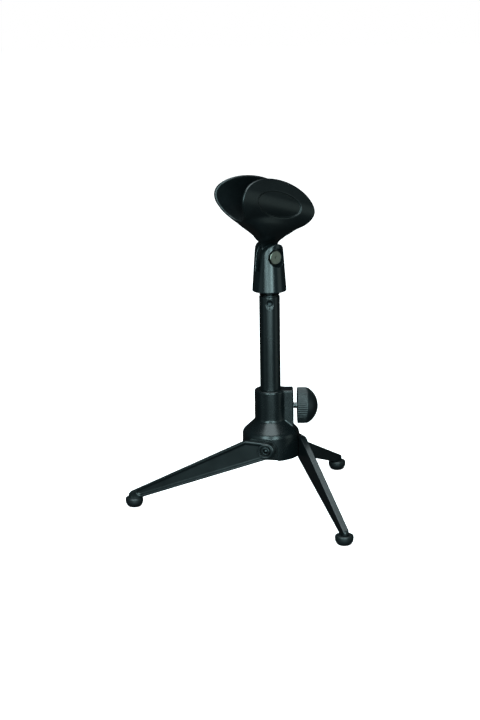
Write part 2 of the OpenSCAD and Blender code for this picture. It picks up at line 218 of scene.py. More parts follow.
def mesh_field(name, field, low, high, step, matrix):
    """Object whose surface is the field's zero level inside a box, placed by matrix."""
    # The grid has a margin all round, and no plane of it lies on the box
    grid = [np.arange(a - 1.6 * step, b + 2.6 * step, step) for a, b in zip(low, high)]
    values = field(*np.meshgrid(*grid, indexing="ij"))
    inside = values < 0
    count = sum(
        inside[i:inside.shape[0] - 1 + i, j:inside.shape[1] - 1 + j, k:inside.shape[2] - 1 + k]
        .astype(np.int8)
        for i in (0, 1) for j in (0, 1) for k in (0, 1)
    )
    cells = np.argwhere((count > 0) & (count < 8))
    ids = np.full(count.shape, -1, np.int64)
    ids[tuple(cells.T)] = np.arange(len(cells))
    points = cell_points(values, cells, grid)
    for _ in range(4):
        slope = gradient(field, points)
        size = np.maximum((slope**2).sum(1), 0.1)
        move = -(field(*points.T) / size)[:, None] * slope
        points += np.clip(move, -0.4 * step, 0.4 * step)
    quads = np.concatenate([crossing_quads(inside, ids, axis) for axis in range(3)])
    normals = gradient(field, points)
    return build_mesh(name, points, quads, normals, matrix)


def build_mesh(name, points, quads, normals, matrix):
    """Object from millimetre points and quads in a local frame, placed by matrix."""
    mesh = bpy.data.meshes.new(name)
    mesh.vertices.add(len(points))
    mesh.vertices.foreach_set("co", (points * MM).astype(np.float32).ravel())
    mesh.loops.add(quads.size)
    mesh.loops.foreach_set("vertex_index", quads.astype(np.int32).ravel())
    mesh.polygons.add(len(quads))
    mesh.polygons.foreach_set("loop_start", np.arange(0, quads.size, 4, dtype=np.int32))
    mesh.update(calc_edges=True)
    mesh.transform(matrix)
    mesh.shade_smooth()
    turned = normals @ np.array(matrix.to_3x3()).T
    turned /= np.maximum(np.linalg.norm(turned, axis=1, keepdims=True), 1e-9)
    mesh.normals_split_custom_set_from_vertices(turned.tolist())
    obj = bpy.data.objects.new(name, mesh)
    bpy.context.scene.collection.objects.link(obj)
    return obj


# ---------------------------------------------------------------- frame dimensions

def middle(node):
    low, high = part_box(node)
    return (low + high) / 2


def size_mm(node):
    low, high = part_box(node)
    return (high - low) / MM


def top_mm(node):
    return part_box(node)[1].z / MM


def bottom_mm(node):
    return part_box(node)[0].z / MM


AXIS = Vector((middle("tube").x, middle("tube").y, 0))
TUBE_R = size_mm("tube").x / 2
TUBE_TOP, TUBE_BOTTOM = top_mm("tube"), bottom_mm("tube")
DRUM_R = size_mm("hub").y / 2
DRUM_BOTTOM, COLLAR_TOP = bottom_mm("hub"), top_mm("hub")
BASE_BOTTOM, BASE_TOP = bottom_mm("clip_base"), top_mm("clip_base")
BASE_R = size_mm("clip_base").x / 2
FOOT_H = top_mm("foot_front")
FOOT_R = size_mm("foot_front").x / 2
BOLT_Z = JOINTS["clip_tilt"]["pos_m"][2] / MM
PIVOT_Z = JOINTS["left_leg_fold"]["pos_m"][2] / MM
CLAMP_Z = JOINTS["knob_turn"]["pos_m"][2] / MM
KNOB_BACK = (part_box("clamp_knob")[0].x - AXIS.x) / MM
KNOB_R = size_mm("clamp_knob").z / 2
KNOB_LENGTH = size_mm("clamp_knob").x
LEG_OFFSET = (Vector(JOINTS["left_leg_fold"]["pos_m"]) - AXIS).xy.length / MM
JAW_R = MOUNTS["jaw"]["dims"]["r_mm"]


def stand_frame():
    """X to the knob, Z up, with its origin on the tube's axis at the table."""
    return Matrix.Translation(AXIS)


def leg_heading(side):
    """Heading of a leg: a quarter turn back from its outward facing pivot axis."""
    axis = JOINTS[side + "_leg_fold"]["axis"]
    return math.atan2(axis[1], axis[0]) - math.pi / 2


def leg_frame(side):
    """X along the leg, Y out through its pivot, Z up, round the tube's axis."""
    return Matrix.Translation(AXIS) @ Matrix.Rotation(leg_heading(side), 4, "Z")


def clip_frame():
    """X towards the clip's low end, -Y out through the bolt's head, round the tube's axis."""
    axis = JOINTS["clip_tilt"]["axis"]
    return Matrix.Translation(AXIS) @ Matrix.Rotation(math.atan2(axis[0], -axis[1]), 4, "Z")


SIDES = ("left", "front", "back")
FOOT_REACH = (leg_frame("front").inverted() @ middle("foot_front")).x / MM
JAW_MIDDLE = clip_frame().inverted() @ Vector(MOUNTS["jaw"]["pos_m"]) / MM
JAW_PITCH = math.asin(MOUNTS["jaw"]["axis"][2])

# Shapes below are in millimetres. Where a part has a hole for another, the hole is a little wider.
CLEAR = 0.02
SIN_45 = math.sqrt(0.5)

# Hub: drum, cone, collar and clamp boss
COLLAR_R = 12.5
CONE_TOP = 71.4
CONE_TURN = math.radians(47)
BOSS_REACH = 17.8
BOSS_HALF = 7.2
BOSS_BOTTOM = 61.0
TUBE_BORE_R = TUBE_R + 0.06
# Ring-shaped moulding core under the drum, and the bosses that it leaves round the inserts
CORE_MIDDLE_R = 13.5
CORE_HALF_WIDTH = 2.0
CORE_TOP = 60
INSERT_BOSS_R = 5.0
# Leg pockets, and the insert hole in the floor of each
POCKET_FLOOR = 18.0
POCKET_ARCH_R = 8.6
INSERT_R = 3.0
INSERT_INNER = 11.6
# Holes along the clamp screw: for the pad, then for the insert
PAD_HOLE_R = 2.55
PAD_HOLE_START = 1
CLAMP_INSERT_R = 3.6
CLAMP_INSERT_START = 13.1

# Tube and stud
TUBE_INNER_R = 6.8
STAKE_HEIGHT = TUBE_TOP - 5.9
STAKE_HOLE_R = 1.6
STAKE_INNER = 4.8
DIMPLE_R = 6.0
DIMPLE_DEPTH = 1.2
STUD_R = 7.93
STUD_PITCH = 0.9407
STUD_THREAD_DEPTH = 0.55
STUD_RELIEF_R = 7.2
STUD_RELIEF_H = 0.9
STUD_TAIL_R = 6.75

# Knob and clamp screw
KNOB_BAND = 8.5
KNOB_STEP = 0.4
KNOB_FLUTES = 54
FLUTE_R = 0.62
FLUTE_OUT = 0.3
FLUTE_END = KNOB_BAND - 0.7
KNOB_HOLE_DEPTH = 9
CLAMP_SCREW_R = 2.48
CLAMP_PITCH = 0.8
CLAMP_THREAD_DEPTH = 0.42
CLAMP_NOSE_R = 1.2
CLAMP_NOSE_LENGTH = 0.9

# Legs. The outline is a belt round circles: (along the leg, height, radius)
LEG_HALF_T = 2.5
LEG_INNER = LEG_OFFSET - LEG_HALF_T
LEG_OUTER = LEG_OFFSET + LEG_HALF_T
LEG_ROOT = (-0.6, PIVOT_Z, 6.3)
LEG_TIP = (FOOT_REACH + 1.4, 8.9, 3.3)
LEG_BEND = (15.2, PIVOT_Z + 1.5, 6.0)
LEG_END = LEG_TIP[0] + LEG_TIP[2]
PANEL_TIP = (FOOT_REACH - 5.0, 12.2, 4.1)
PANEL_RIM = 1.6
PANEL_DEPTH = 1.1
RING_R = 5.9
RING_H = 0.7
COUNTERBORE_R = 4.3
COUNTERBORE_DEPTH = 1.2
PIVOT_HOLE_R = 2.55
PEG_R = 1.8
PEG_BOTTOM = 3.0
PEG_TOP = 7.0
FOOT_BEVEL = 2.5

# Leg screws
SCREW_SEAT = LEG_OUTER - 1.18
SCREW_HEAD_R = 3.7
SCREW_HEAD_H = 1.5
SCREW_SHOULDER_R = 2.5
SCREW_STEM_R = 2.0
SCREW_STEM_START = 12.1
SOCKET_HALF_FLATS = 1.7
SOCKET_FLOOR = SCREW_SEAT + 0.9

# Clip base, tilt bolt and nut
EAR_R = BASE_TOP - BOLT_Z
EAR_TAPER = 0.12
SLOT_HALF = 2.7
SLOT_DEPTH = 10.7
RECESS_FLOOR = 6.15
RECESS_R = 7.3
BASE_INSERT_R = 10.0
BASE_INSERT_H = 12
BOLT_R = 2.5
BOLT_HOLE_R = 2.55
BOLT_HEAD_R = 5.4
BOLT_HEAD_H = 2.5
BOLT_CHAMFER = 0.35
BOLT_MARK_R = 0.9
BOLT_MARK_OUT = 0.6
NUT_HALF_FLATS = 4.0
NUT_HALF_H = 1.6
NUT_CROWN_R = 4.4
NUT_POCKET = 0.8
NUT_MIDDLE = (clip_frame().inverted() @ middle("clip_nut")).y / MM

# Microphone clip. Places along the jaw are counted from its middle towards its mouth
CLIP_WALL = 2.6
WALL_LEAN = math.radians(20)
OUTER_FLARE = 0.03
MOUTH_START, MOUTH_FLARE = 16, 0.055
TAIL_START, TAIL_TAPER = -20, 0.03
SINK_START, SINK_RATE = -5, 0.12
OVAL_HALF = (36.9, 19.5)
OVAL_DROP = 1.0
NECK_BOTTOM, NECK_TOP = 4, 36
DISH_HALF = (22.0, 9.3)
DISH_DEPTH = 1.1
DISH_NEAREST = 6
TONGUE_R = 9.0
TONGUE_HALF = 2.62
SWING_R = 11.3


# ---------------------------------------------------------------- hub and tube

def in_leg(x, y, side):
    """Coordinates along a leg and outwards through its pivot."""
    heading = leg_heading(side)
    c, s = math.cos(heading), math.sin(heading)
    return x * c + y * s, y * c - x * s


def hub_outside(x, y, z):
    """Distance to the hub with none of its pockets and holes."""
    radial = span(x, y)
    cone = (radial - COLLAR_R) * math.cos(CONE_TURN) + (z - CONE_TOP) * math.sin(CONE_TURN)
    drum = join(soft_max(radial - DRUM_R, cone, 1.8), DRUM_BOTTOM - z, 0.8)
    collar = rod(radial, COLLAR_R, z, DRUM_BOTTOM + 1, COLLAR_TOP, 1.4)
    boss = join(x - BOSS_REACH, np.abs(y) - BOSS_HALF, 1.2)
    boss = join(np.maximum(boss, -x), z - COLLAR_TOP, 1.2)
    boss = np.maximum(boss, BOSS_BOTTOM - z)
    return soft_min(drum, soft_min(collar, boss, 0.8), 1.2)


def hub_core(x, y, z):
    """Distance to the moulding core under the drum, which goes round the insert bosses."""
    core = np.maximum(np.abs(span(x, y) - CORE_MIDDLE_R) - CORE_HALF_WIDTH, z - CORE_TOP)
    for side in SIDES:
        a, t = in_leg(x, y, side)
        core = without(core, np.maximum(span(a, z - PIVOT_Z) - INSERT_BOSS_R, -t))
    return core


def hub_field(x, y, z):
    body = cut_out(hub_outside(x, y, z), hub_core(x, y, z), 0.5)
    for side in SIDES:
        a, t = in_leg(x, y, side)
        arch = span(np.maximum(LEG_ROOT[0] - a, 0), np.maximum(z - PIVOT_Z, 0)) - POCKET_ARCH_R
        body = cut_out(body, np.maximum(arch, POCKET_FLOOR - t), 0.5)
        body = without(body, np.maximum(span(a, z - PIVOT_Z) - INSERT_R, INSERT_INNER - t))
    body = cut_out(body, span(x, y) - TUBE_BORE_R, 0.8)
    clamp = span(y, z - CLAMP_Z)
    pad_hole = np.maximum(clamp - PAD_HOLE_R, PAD_HOLE_START - x)
    insert_hole = np.maximum(clamp - CLAMP_INSERT_R, CLAMP_INSERT_START - x)
    return without(body, np.minimum(pad_hole, insert_hole))


def tube_field(x, y, z):
    radial = span(x, y)
    wall = rod(radial, TUBE_R, z, TUBE_BOTTOM, TUBE_TOP, 0.4)
    wall = cut_out(wall, radial - TUBE_INNER_R, 0.4)
    # The stud is locked by a punched dimple with a hole in its middle
    drop = z - STAKE_HEIGHT
    dimple = span(x, y + TUBE_R + DIMPLE_R - DIMPLE_DEPTH, drop) - DIMPLE_R
    wall = cut_out(wall, dimple, 0.4)
    return without(wall, np.maximum(span(x, drop) - STAKE_HOLE_R, y))


def stud_field(x, y, z):
    radial = span(x, y)
    low, high = TUBE_TOP + STUD_RELIEF_H, top_mm("thread_stud")
    ridges = thread(radial, np.arctan2(y, x), z, STUD_R, STUD_PITCH, STUD_THREAD_DEPTH)
    crests = radial - STUD_R + 0.05
    threaded = join(np.maximum(ridges, crests), slab(z, low, high), 0.4)
    relief = rod(radial, STUD_RELIEF_R, z, TUBE_TOP + 0.05, low + 1, 0.05)
    tail = rod(radial, STUD_TAIL_R, z, bottom_mm("thread_stud"), TUBE_TOP + 1, 0.4)
    body = np.minimum(np.minimum(threaded, relief), tail)
    return without(body, np.maximum(span(x, z - STAKE_HEIGHT) - STAKE_HOLE_R, y + STAKE_INNER))


def knob_field(x, y, z):
    s, w = x - KNOB_BACK, z - CLAMP_Z
    radial = span(y, w)
    dome_h = KNOB_LENGTH - KNOB_BAND
    dome_base = KNOB_R - KNOB_STEP
    dome_r = (dome_base**2 + dome_h**2) / (2 * dome_h)
    dome = span(s - (KNOB_LENGTH - dome_r), radial) - dome_r
    body = soft_max(join(radial - KNOB_R, -s, 0.9), dome, 0.9)
    # Fine flutes round the band
    pitch = 2 * math.pi / KNOB_FLUTES
    turn = (np.arctan2(w, y) + pitch / 2) % pitch - pitch / 2
    flute = span(radial * np.cos(turn) - (KNOB_R + FLUTE_OUT), radial * np.sin(turn)) - FLUTE_R
    body = cut_out(body, join(flute, s - FLUTE_END, 0.3), 0.25)
    return without(body, np.maximum(radial - CLAMP_SCREW_R - CLEAR, s - KNOB_HOLE_DEPTH))


def clamp_screw_field(x, y, z):
    w = z - CLAMP_Z
    radial = span(y, w)
    tip, end = ((corner.x - AXIS.x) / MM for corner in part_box("clamp_screw"))
    low = tip + CLAMP_NOSE_LENGTH
    ridges = thread(radial, np.arctan2(w, y), x, CLAMP_SCREW_R, CLAMP_PITCH, CLAMP_THREAD_DEPTH)
    shank = join(ridges, slab(x, low, end), 0.3)
    nose = rod(radial, CLAMP_NOSE_R, x, tip, low + 0.5, 0.2)
    return np.minimum(shank, nose)


# ---------------------------------------------------------------- legs and feet

def leg_outline(a, z):
    return belt(a, z, [LEG_ROOT, LEG_TIP, LEG_BEND])


def leg_field(a, t, z):
    plan = span(np.maximum(a - (LEG_END - LEG_HALF_T), 0), t - LEG_OFFSET) - LEG_HALF_T
    blade = join(leg_outline(a, z), plan, 0.55)
    # Sunk panel with walls that slope at 45 degrees
    shrunk = [(p, q, r - PANEL_RIM) for p, q, r in (LEG_ROOT, PANEL_TIP, LEG_BEND)]
    sloping = (belt(a, z, shrunk) + LEG_OUTER - t) * SIN_45
    blade = cut_out(blade, join(sloping, LEG_OUTER - PANEL_DEPTH - t, 0.3), 0.3)
    # Ring and counterbore round the screw's head
    pivot = span(a, z - PIVOT_Z)
    ring = rod(pivot, RING_R, t, LEG_OFFSET, LEG_OUTER + RING_H, 0.5)
    blade = soft_min(blade, ring, 0.5)
    counterbore = np.maximum(pivot - COUNTERBORE_R, LEG_OUTER - COUNTERBORE_DEPTH - t)
    blade = cut_out(blade, counterbore, 0.4)
    peg = rod(span(a - FOOT_REACH, t - LEG_OFFSET), PEG_R, z, PEG_BOTTOM, PEG_TOP, 0.3)
    return without(np.minimum(blade, peg), pivot - PIVOT_HOLE_R)


def foot_field(a, t, z):
    radial = span(a - FOOT_REACH, t - LEG_OFFSET)
    bevel = (radial - FOOT_R - z + FOOT_BEVEL) * SIN_45
    body = soft_max(join(radial - FOOT_R, z - FOOT_H, 1.3), bevel, 1.8)
    body = join(body, -z, 0.6)
    groove = np.maximum(leg_outline(a, z), np.abs(t - LEG_OFFSET) - LEG_HALF_T)
    body = cut_out(body, groove - CLEAR, 0.4)
    return without(body, np.maximum(radial - PEG_R - CLEAR, PEG_BOTTOM - CLEAR - z))


def leg_screw_field(a, t, z):
    pivot = span(a, z - PIVOT_Z)
    head = join(pivot - SCREW_HEAD_R, np.abs(t - SCREW_SEAT) - SCREW_HEAD_H, 0.7)
    shoulder = rod(pivot, SCREW_SHOULDER_R, t, POCKET_FLOOR + CLEAR, SCREW_SEAT + 0.5, 0.2)
    stem = rod(pivot, SCREW_STEM_R, t, SCREW_STEM_START, POCKET_FLOOR + 0.5, 0.4)
    # Hexagon socket with a conical floor
    floor = SOCKET_FLOOR - t - 0.5 * pivot
    socket = np.maximum(hexagon(a, z - PIVOT_Z, SOCKET_HALF_FLATS), floor)
    return cut_out(np.minimum(np.minimum(head, shoulder), stem), socket, 0.15)


# ---------------------------------------------------------------- clip

def clip_base_field(x, y, z):
    radial, from_bolt = span(x, y), span(x, z - BOLT_Z)
    slope = (BASE_R - EAR_R) / (BASE_TOP - BASE_BOTTOM)
    side = (radial - BASE_R + slope * (z - BASE_BOTTOM)) / math.sqrt(1 + slope * slope)
    body = join(side, BASE_BOTTOM - z, 0.8)
    below = np.abs(x) - EAR_TAPER * (BOLT_Z - z)
    body = soft_max(body, np.where(z > BOLT_Z, from_bolt, below) - EAR_R, 0.8)
    recess = join(from_bolt - RECESS_R, RECESS_FLOOR - np.abs(y), 0.3)
    body = cut_out(body, recess, 0.25)
    slot = np.maximum(np.abs(y) - SLOT_HALF, BOLT_Z - SLOT_DEPTH - z)
    body = cut_out(body, slot, 0.25)
    insert = np.maximum(radial - BASE_INSERT_R, z - (BASE_BOTTOM + BASE_INSERT_H))
    body = cut_out(body, insert, 0.3)
    nut = hexagon(x, z - BOLT_Z, NUT_HALF_FLATS + CLEAR)
    nut = np.maximum(nut, RECESS_FLOOR - NUT_POCKET - y)
    return without(body, np.minimum(from_bolt - BOLT_HOLE_R, nut))


def clip_bolt_field(x, y, z):
    radial = span(x, z - BOLT_Z)
    face = RECESS_FLOOR + BOLT_HEAD_H
    head = rod(radial, BOLT_HEAD_R, -y, RECESS_FLOOR + CLEAR, face, 0.1)
    head = soft_max(head, (radial - BOLT_HEAD_R - y - face + BOLT_CHAMFER) * SIN_45, 0.2)
    # Turned centre mark
    head = cut_out(head, span(radial, y + face + BOLT_MARK_OUT) - BOLT_MARK_R, 0.4)
    end = NUT_MIDDLE + NUT_HALF_H + 1
    shank = rod(radial, BOLT_R, y, -RECESS_FLOOR - 1, end, 0.4)
    return np.minimum(head, shank)


def clip_nut_field(x, y, z):
    w = z - BOLT_Z
    depth = np.abs(y - NUT_MIDDLE) - NUT_HALF_H
    body = join(hexagon(x, w, NUT_HALF_FLATS), depth, 0.2)
    body = soft_max(body, (span(x, w) - NUT_CROWN_R + depth) * SIN_45, 0.2)
    return cut_out(body, span(x, w) - BOLT_HOLE_R, 0.4)


def in_jaw(x, z):
    """Position along the jaw's axis towards its mouth, and up across it."""
    c, s = math.cos(JAW_PITCH), math.sin(JAW_PITCH)
    u, w = x - JAW_MIDDLE.x, z - JAW_MIDDLE.z
    return w * s - u * c, u * s + w * c


def jaw_wall(y, up, radius):
    """Distance to a round trough whose walls run on straight above the tangent point."""
    side = np.abs(y)
    leaning = side * math.cos(WALL_LEAN) + up * math.sin(WALL_LEAN) - radius
    above = up * math.cos(WALL_LEAN) > side * math.sin(WALL_LEAN)
    return np.where(above, leaning, span(y, up) - radius)


# Neck between the jaw and the tongue: how far it reaches at heights over the bolt
NECK_FRONT = smooth_curve([
    (0, 7.4), (10, 7.6), (13.2, 9.9), (16.4, 11.6), (18.9, 14.2), (25.5, 22.6), (31, 28.6),
    (34.9, 31.4), (40, 33.5), (46, 34)
])
NECK_BACK = smooth_curve([
    (0, 8.3), (9.5, 9), (11.7, 11.1), (14.9, 13.2), (16.4, 16.2), (20.2, 23), (23.6, 26.5),
    (30, 27.5), (42, 27.5)
])
NECK_SIDE = smooth_curve([
    (0, 2.62), (11.8, 2.62), (12.5, 4.2), (14, 6.6), (16, 8.8), (19, 11.2), (22, 13.2), (28, 15),
    (32, 15), (36, 13.5), (42, 11)
])
NECK_POWER = 3.6


def neck_outline(x, height):
    """Distance to the neck's outline in side view, to first order."""
    front = (-x - NECK_FRONT(height)) * 0.75
    back = (x - NECK_BACK(height)) * 0.75
    return np.maximum(front, back)


def neck_field(x, y, height):
    """Distance to the neck, whose sections are rectangles with generously rounded corners."""
    front, back, side = NECK_FRONT(height), NECK_BACK(height), NECK_SIDE(height)
    centre, half = (back - front) / 2, (back + front) / 2
    p, q = np.abs(x - centre) / half, np.abs(y) / side
    size = (p**NECK_POWER + q**NECK_POWER + 1e-9) ** (1 / NECK_POWER)
    slope = span((p / size) ** (NECK_POWER - 1) / half, (q / size) ** (NECK_POWER - 1) / side)
    return (size - 1) / (slope + 1e-6)


def sunk_level(along, up, radius):
    """Level in the trough, whose round bottom deepens into an oval towards the mouth."""
    sunk = SINK_RATE * np.maximum(along - SINK_START, 0)
    return np.where(up < 0, up * radius / (radius + sunk), up)


def jaw_walls(y, along, up):
    """Distances to the outside and the inside of the jaw, which widen a little to the mouth."""
    outer_r = JAW_R + CLIP_WALL + OUTER_FLARE * along
    mouth, tail = np.maximum(along - MOUTH_START, 0), np.maximum(TAIL_START - along, 0)
    inner_r = JAW_R + MOUTH_FLARE * mouth - TAIL_TAPER * tail
    outer = jaw_wall(y, sunk_level(along, up, outer_r), outer_r)
    inner = jaw_wall(y, sunk_level(along, up, inner_r), inner_r)
    return outer, inner


def mic_clip_field(x, y, z):
    along, up = in_jaw(x, z)
    outer, inner = jaw_walls(y, along, up)
    height = z - BOLT_Z
    from_bolt = span(x, height)
    # Bowl: the jaw's outside, cut to an oval that runs into the neck
    lower = np.maximum(neck_outline(x, height), height - NECK_TOP - 2)
    outline = soft_min(oval(along, up + OVAL_DROP, *OVAL_HALF), lower, 3.0)
    bowl = join(outer, outline, 1.1)
    neck = np.maximum(neck_field(x, y, height), slab(height, NECK_BOTTOM, NECK_TOP))
    body = soft_min(bowl, neck, 2.5)
    # Only the flat tongue comes near the bolt, so that the clip can swing between the ears
    flat = soft_max(body, np.abs(y) - TONGUE_HALF, 0.4)
    body = np.where(from_bolt < SWING_R, flat, body)
    tongue = join(from_bolt - TONGUE_R, np.abs(y) - TONGUE_HALF, 0.5)
    body = np.minimum(body, tongue)
    body = cut_out(body, inner, 1.6)
    # Thumb dishes
    dish = join(oval(along, up, *DISH_HALF), -(outer + DISH_DEPTH), 0.5)
    body = cut_out(body, np.maximum(dish, DISH_NEAREST - np.abs(y)), 1.0)
    return without(body, from_bolt - BOLT_HOLE_R)


# ---------------------------------------------------------------- materials

def node_adder(tree):
    """Function that adds a node to a node tree, with links or values for its inputs."""
    nodes, links = tree.nodes, tree.links

    def add(kind, inputs=None, **settings):
        node = nodes.new(kind)
        for key, value in settings.items():
            setattr(node, key, value)
        for key, value in (inputs or {}).items():
            if isinstance(value, bpy.types.NodeSocket):
                links.new(value, node.inputs[key])
            else:
                node.inputs[key].default_value = value
        return node

    return add


def new_material(name):
    """Material, its shader node, its object coordinates, and what adds and links its nodes."""
    material = bpy.data.materials.new(name)
    material.use_nodes = True
    tree = material.node_tree
    add = node_adder(tree)
    place = add("ShaderNodeTexCoord").outputs["Object"]
    return material, tree.nodes["Principled BSDF"], place, add, tree.links


def noise(add, place, per_metre, detail=3.0, roughness=0.55):
    """Noise between 0 and 1, with about per_metre cells in a metre."""
    return add("ShaderNodeTexNoise", {
        "Vector": place, "Scale": per_metre, "Detail": detail, "Roughness": roughness,
    }).outputs["Fac"]


def ramp(add, value, low, high, out_low, out_high):
    """Value mapped from the range low to high onto the range out_low to out_high."""
    return add("ShaderNodeMapRange", {
        "Value": value, "From Min": low, "From Max": high, "To Min": out_low, "To Max": out_high,
    }).outputs["Result"]


def mix_colour(add, share, first, second):
    """Colour between first and second, each of them a value or a node's output."""
    node = add("ShaderNodeMix", data_type="RGBA")
    links = node.id_data.links
    factor, colour_a, colour_b = node.inputs[0], node.inputs[6], node.inputs[7]
    for socket, value in ((factor, share), (colour_a, first), (colour_b, second)):
        if isinstance(value, bpy.types.NodeSocket):
            links.new(value, socket)
        else:
            socket.default_value = value
    return node.outputs[2]


def grey(value, tint=(1.0, 1.0, 1.0)):
    return (value * tint[0], value * tint[1], value * tint[2], 1.0)


TEAL = (0.72, 1.06, 1.18)
NICKEL = (0.29, 0.295, 0.25, 1)
NICKEL_ROUGH = 0.34


def moulded(name, level, rough, grain_per_metre, grain_height, worn=0.5, tint=TEAL):
    """Dark moulded plastic: fine grain, uneven gloss and slightly polished edges."""
    material, shader, place, add, links = new_material(name)
    cloud = noise(add, place, 55, 4)
    speck = noise(add, place, 900, 2)
    colour = mix_colour(add, ramp(add, cloud, 0.35, 0.7, 0, 1), grey(level * 0.85, tint),
                        grey(level * 1.15, tint))
    edges = ramp(add, add("ShaderNodeNewGeometry").outputs["Pointiness"], 0.505, 0.56, 0, worn)
    colour = mix_colour(add, edges, colour, grey(level * 2.6, tint))
    links.new(colour, shader.inputs["Base Color"])
    gloss = ramp(add, cloud, 0.3, 0.75, rough - 0.04, rough + 0.05)
    gloss = add("ShaderNodeMath", {0: gloss, 1: ramp(add, speck, 0.3, 0.7, -0.01, 0.015)},
                operation="ADD").outputs[0]
    gloss = add("ShaderNodeMath", {0: gloss, 1: ramp(add, edges, 0, 1, 0, 0.08)},
                operation="SUBTRACT").outputs[0]
    links.new(gloss, shader.inputs["Roughness"])
    grain = noise(add, place, grain_per_metre, 3, 0.6)
    bump = add("ShaderNodeBump", {"Height": grain, "Strength": 0.2, "Distance": grain_height})
    links.new(bump.outputs["Normal"], shader.inputs["Normal"])
    return material


def painted(name, level, rough):
    """Satin powder paint on steel, with the faint waviness of its flow."""
    material, shader, place, add, links = new_material(name)
    cloud = noise(add, place, 35, 3)
    peel = noise(add, place, 650, 2, 0.4)
    colour = mix_colour(add, cloud, grey(level * 0.9, TEAL), grey(level * 1.1, TEAL))
    edges = ramp(add, add("ShaderNodeNewGeometry").outputs["Pointiness"], 0.51, 0.58, 0, 0.6)
    links.new(mix_colour(add, edges, colour, grey(level * 3, TEAL)), shader.inputs["Base Color"])
    links.new(ramp(add, cloud, 0.3, 0.7, rough - 0.03, rough + 0.04), shader.inputs["Roughness"])
    bump = add("ShaderNodeBump", {"Height": peel, "Strength": 0.3, "Distance": 0.00006})
    links.new(bump.outputs["Normal"], shader.inputs["Normal"])
    return material


def metal(name, colour, rough, brushed=0.5):
    """Plated or bare metal: metallic, unevenly polished, with fine machining marks."""
    material, shader, place, add, links = new_material(name)
    shader.inputs["Metallic"].default_value = 1.0
    cloud = noise(add, place, 260, 4)
    dark = tuple(c * 0.72 for c in colour[:3]) + (1.0,)
    links.new(mix_colour(add, ramp(add, cloud, 0.35, 0.7, 0, 1), dark, colour),
              shader.inputs["Base Color"])
    links.new(ramp(add, cloud, 0.3, 0.7, rough - 0.07, rough + 0.08), shader.inputs["Roughness"])
    marks = noise(add, place, 4200, 2)
    bump = add("ShaderNodeBump", {"Height": marks, "Strength": brushed, "Distance": 0.00003})
    links.new(bump.outputs["Normal"], shader.inputs["Normal"])
    return material


def turned_metal(name, colour, rough, centre, axis):
    """Turned metal face: rings round an axis through centre, over the plain metal."""
    material = metal(name, colour, rough)
    tree = material.node_tree
    add = node_adder(tree)
    place = add("ShaderNodeTexCoord").outputs["Object"]
    away = add("ShaderNodeVectorMath", {0: place, 1: centre}, operation="SUBTRACT").outputs[0]
    across = add("ShaderNodeVectorMath", {0: away, 1: axis}, operation="CROSS_PRODUCT").outputs[0]
    radius = add("ShaderNodeVectorMath", {0: across}, operation="LENGTH").outputs["Value"]
    rings = add("ShaderNodeTexNoise", {"W": radius, "Scale": 5200, "Detail": 1.0},
                noise_dimensions="1D").outputs["Fac"]
    normal = tree.nodes["Principled BSDF"].inputs["Normal"]
    marks = normal.links[0].from_socket
    bump = add("ShaderNodeBump", {"Height": rings, "Normal": marks, "Strength": 0.6,
                                  "Distance": 0.00002})
    tree.links.new(bump.outputs["Normal"], normal)
    return material


def make_materials():
    bolt = JOINTS["clip_tilt"]
    return {
        "hub_plastic": moulded("hub_plastic", 0.005, 0.27, 2200, 0.00002),
        "leg_plastic": moulded("leg_plastic", 0.005, 0.32, 2200, 0.00002),
        "knob_plastic": moulded("knob_plastic", 0.006, 0.4, 2000, 0.00004),
        "clip_base_plastic": moulded("clip_base_plastic", 0.007, 0.22, 2400, 0.00002),
        "clip_rubber": moulded("clip_rubber", 0.004, 0.36, 2600, 0.00006, worn=0.25),
        "foot_rubber": moulded("foot_rubber", 0.006, 0.42, 1500, 0.00012, worn=0.2),
        "plug_plastic": moulded("plug_plastic", 0.01, 0.5, 1500, 0.00008),
        "pad_nylon": moulded("pad_nylon", 0.45, 0.45, 1500, 0.00006, 0.1, (1.0, 0.97, 0.9)),
        "tube_paint": painted("tube_paint", 0.005, 0.27),
        "black_steel": metal("black_steel", (0.05, 0.056, 0.058, 1), 0.3),
        "zinc_steel": metal("zinc_steel", (0.55, 0.56, 0.56, 1), 0.3),
        "nickel_steel": metal("nickel_steel", NICKEL, NICKEL_ROUGH),
        "bolt_face": turned_metal("bolt_face", NICKEL, NICKEL_ROUGH, bolt["pos_m"], bolt["axis"]),
        "brass_insert": metal("brass_insert", (0.55, 0.4, 0.16, 1), 0.35),
    }


# ---------------------------------------------------------------- pieces

def piece(name, field, low, high, step, place, body, nodes, finish):
    """Mesh a field and give it its finish. It then stands for its CAD nodes on their body."""
    obj = mesh_field(name, field, low, high, step, place)
    obj.data.materials.append(finish)
    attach(obj, body)
    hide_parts(*nodes)
    return obj


